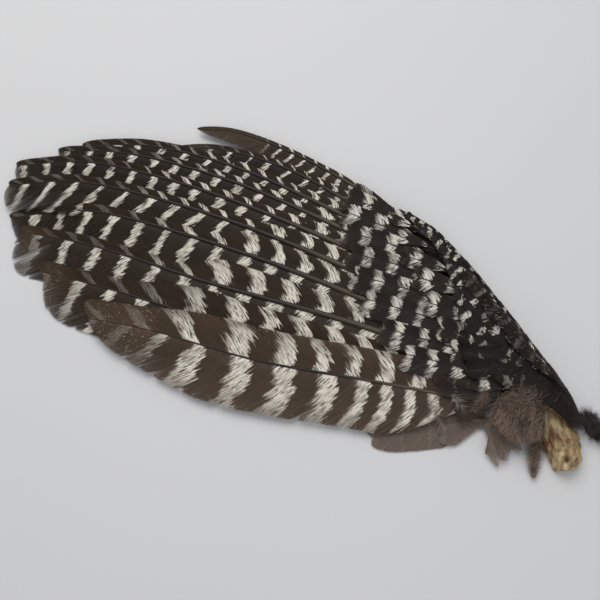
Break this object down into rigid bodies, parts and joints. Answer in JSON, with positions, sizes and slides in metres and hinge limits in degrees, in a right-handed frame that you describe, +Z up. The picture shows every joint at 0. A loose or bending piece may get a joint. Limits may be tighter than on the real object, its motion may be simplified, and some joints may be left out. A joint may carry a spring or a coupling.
{
  "type": "dried turkey wing",
  "caption": "Dried left wing of a turkey cut at the wrist: barred flight feathers fanned out from the hand under rows of coverts, lying flat with its upper side up.",
  "frame": {"origin": "middle of the wing's box in plan, on the surface that it lies on", "axes": "-X towards the feather tips and +X to the cut wrist, +Y to the leading edge, +Z up out of the wing's upper side"},
  "size_m": [0.407, 0.2486, 0.0259],
  "materials": {
    "barred_vane": "satin feather vane, brown-black with cream bars",
    "covert_vane": "satin feather vane, brown-black with broad pale bars",
    "dark_covert": "glossy near-black small feathers with pale flecks",
    "grey_vane": "matt grey-brown feather vane",
    "dried_skin": "matt wrinkled dried skin, ochre over pale bone",
    "grey_down": "soft matt grey-brown down"
  },
  "bodies": {
    "root": {"primary_1": "barred_vane", "primary_2": "barred_vane", "primary_3": "barred_vane", "primary_4": "barred_vane", "primary_5": "barred_vane", "primary_6": "barred_vane", "primary_7": "barred_vane", "primary_8": "barred_vane", "primary_9": "barred_vane", "primary_10": "barred_vane", "greater_covert_1": "covert_vane", "greater_covert_2": "covert_vane", "greater_covert_3": "covert_vane", "greater_covert_4": "covert_vane", "greater_covert_5": "covert_vane", "greater_covert_6": "covert_vane", "greater_covert_7": "covert_vane", "greater_covert_8": "covert_vane", "greater_covert_9": "covert_vane", "greater_covert_10": "covert_vane", "median_covert_1": "covert_vane", "median_covert_2": "covert_vane", "median_covert_3": "covert_vane", "median_covert_4": "covert_vane", "median_covert_5": "covert_vane", "median_covert_6": "covert_vane", "median_covert_7": "covert_vane", "median_covert_8": "covert_vane", "alula_1": "dark_covert", "alula_2": "dark_covert", "alula_3": "dark_covert", "under_covert_long": "grey_vane", "under_covert_short": "grey_vane", "wrist_covert_curved": "grey_vane", "wrist_covert_straight": "grey_vane", "wrist_down_feather": "grey_vane", "under_covert_1": "grey_vane", "under_covert_2": "grey_vane", "under_covert_3": "grey_vane", "under_covert_4": "grey_vane", "under_covert_5": "grey_vane", "under_covert_6": "grey_vane", "under_covert_7": "grey_vane", "hand": "dried_skin", "marginal_coverts": "dark_covert", "down_tuft": "grey_down", "bristle_tuft": "grey_down"}
  },
  "joints": []
}
